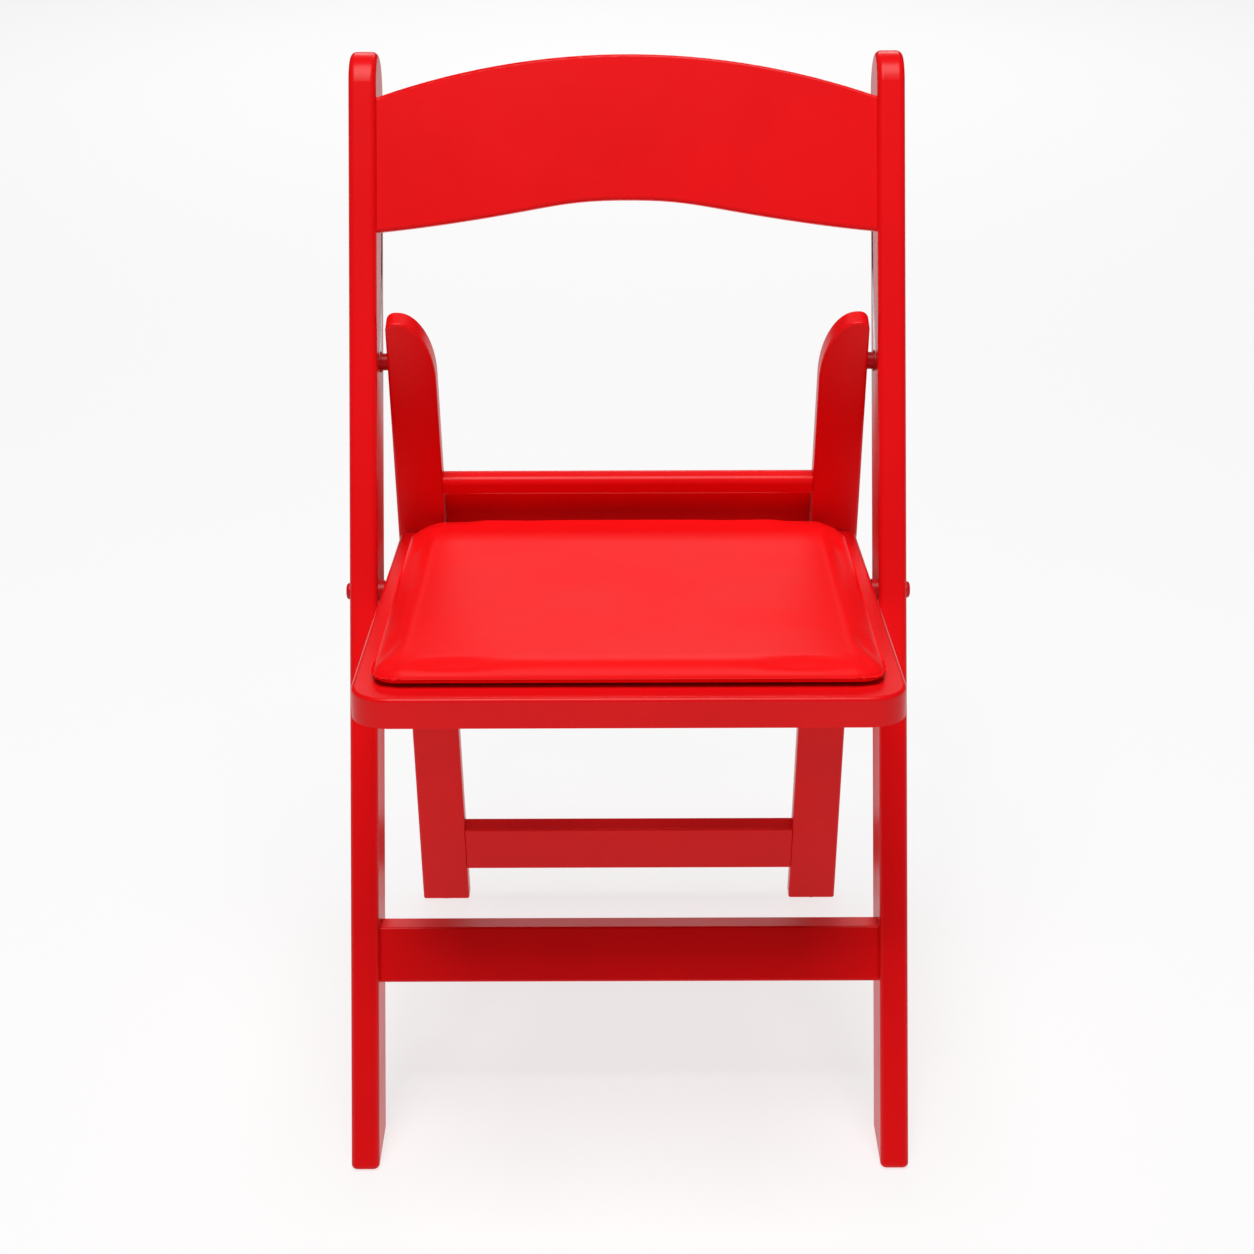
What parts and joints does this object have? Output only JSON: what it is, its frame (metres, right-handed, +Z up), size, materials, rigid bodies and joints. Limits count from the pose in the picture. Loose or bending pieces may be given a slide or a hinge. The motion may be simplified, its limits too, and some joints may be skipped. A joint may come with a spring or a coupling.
{
  "type": "folding chair",
  "caption": "Folding chair with moulded plastic posts, curved back slat and padded seat; the seat and rear frame fold flat into the posts.",
  "frame": {"origin": "On the floor, midway between the chair's foremost and rearmost points and on its centre plane, chair unfolded.", "axes": "+Z up; the chair faces -Y, with its back towards +Y; +X runs across it to the right as seen from the front."},
  "size_m": [0.4358, 0.5256, 0.7953],
  "materials": {
    "red_resin": "satin moulded plastic",
    "red_vinyl": "smooth vinyl, semi-gloss",
    "red_spacer": "matt moulded plastic",
    "painted_bolt": "painted red",
    "board": "raw fibreboard",
    "glide": "matt",
    "peg": "matt",
    "steel": "zinc plated"
  },
  "bodies": {
    "front_frame": {"left_post": "red_resin", "right_post": "red_resin", "left_slot_track": "steel", "right_slot_track": "steel", "back_slat": "red_resin", "front_stretcher": "red_resin", "slat_dowels": "peg", "front_stretcher_dowels": "peg", "front_glides": "glide", "seat_bolts": "painted_bolt", "seat_bolt_washers": "red_spacer", "seat_bolt_nuts": "steel"},
    "seat": {"seat_frame": "red_resin", "seat_bushings": "steel", "hinge_sleeves": "steel", "pad_board": "board", "pad_screws": "steel", "seat_pad": "red_vinyl"},
    "rear_frame": {"left_rear_leg": "red_resin", "right_rear_leg": "red_resin", "rear_stretcher": "red_resin", "rear_crossbar": "red_resin", "rear_stretcher_dowels": "peg", "crossbar_dowels": "peg", "hinge_bolts": "steel", "hinge_washers": "red_spacer", "hinge_nuts": "steel", "slide_pins": "steel", "slide_bushes": "red_spacer", "slide_collars": "red_spacer", "rear_glides": "glide"}
  },
  "joints": [
    {"name": "seat_fold", "type": "hinge", "parent": "front_frame", "child": "seat", "pos_m": [0, -0.00862, 0.41022], "axis": [1, 0, 0], "range_deg": [0, 70.2]},
    {"name": "rear_fold", "type": "hinge", "parent": "seat", "child": "rear_frame", "pos_m": [0, 0.1323, 0.38231], "axis": [1, 0, 0], "range_deg": [-110.2, 0]}
  ],
  "couplings": [
    {"joint": "rear_fold", "follows": "seat_fold", "ratio": -1.5698}
  ]
}
